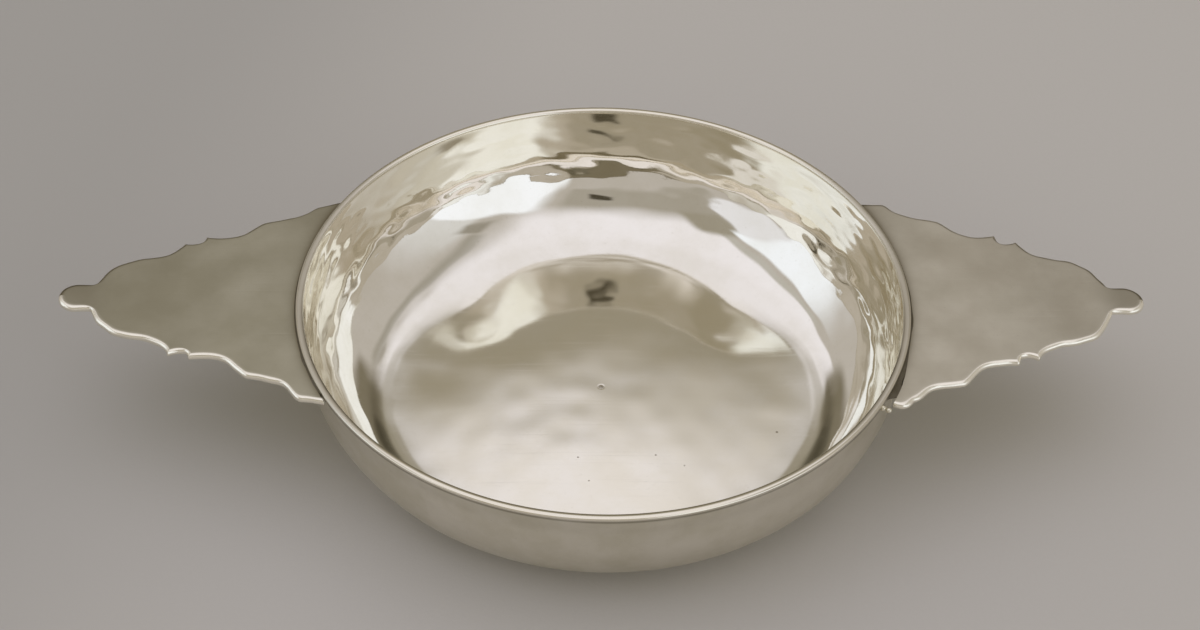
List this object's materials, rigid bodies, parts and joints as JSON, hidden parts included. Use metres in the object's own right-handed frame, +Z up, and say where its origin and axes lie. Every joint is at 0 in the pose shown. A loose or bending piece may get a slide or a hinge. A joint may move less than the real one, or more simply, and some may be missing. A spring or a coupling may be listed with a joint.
{
  "type": "ecuelle",
  "caption": "Shallow round silver bowl with a plain thick rim, a rounded cove and a low raised floor, and flat scalloped ear handles soldered level with the rim.",
  "frame": {"origin": "middle of the bowl, on the surface that it stands on", "axes": "+Z up out of the bowl, X along the two handles, +X towards the right handle"},
  "size_m": [0.3054, 0.1724, 0.0394],
  "materials": {
    "bowl_silver": "hammered and burnished silver, bright inside, softer outside, finely scratched",
    "handle_silver": "satin silver plate with fine scratches, edges rubbed bright",
    "solder": "hard silver solder, filed and lumpy"
  },
  "bodies": {
    "root": {"bowl": "bowl_silver", "left_handle": "handle_silver", "right_handle": "handle_silver", "left_solder_top": "solder", "right_solder_top": "solder", "left_solder_under": "solder", "right_solder_under": "solder"}
  },
  "joints": []
}
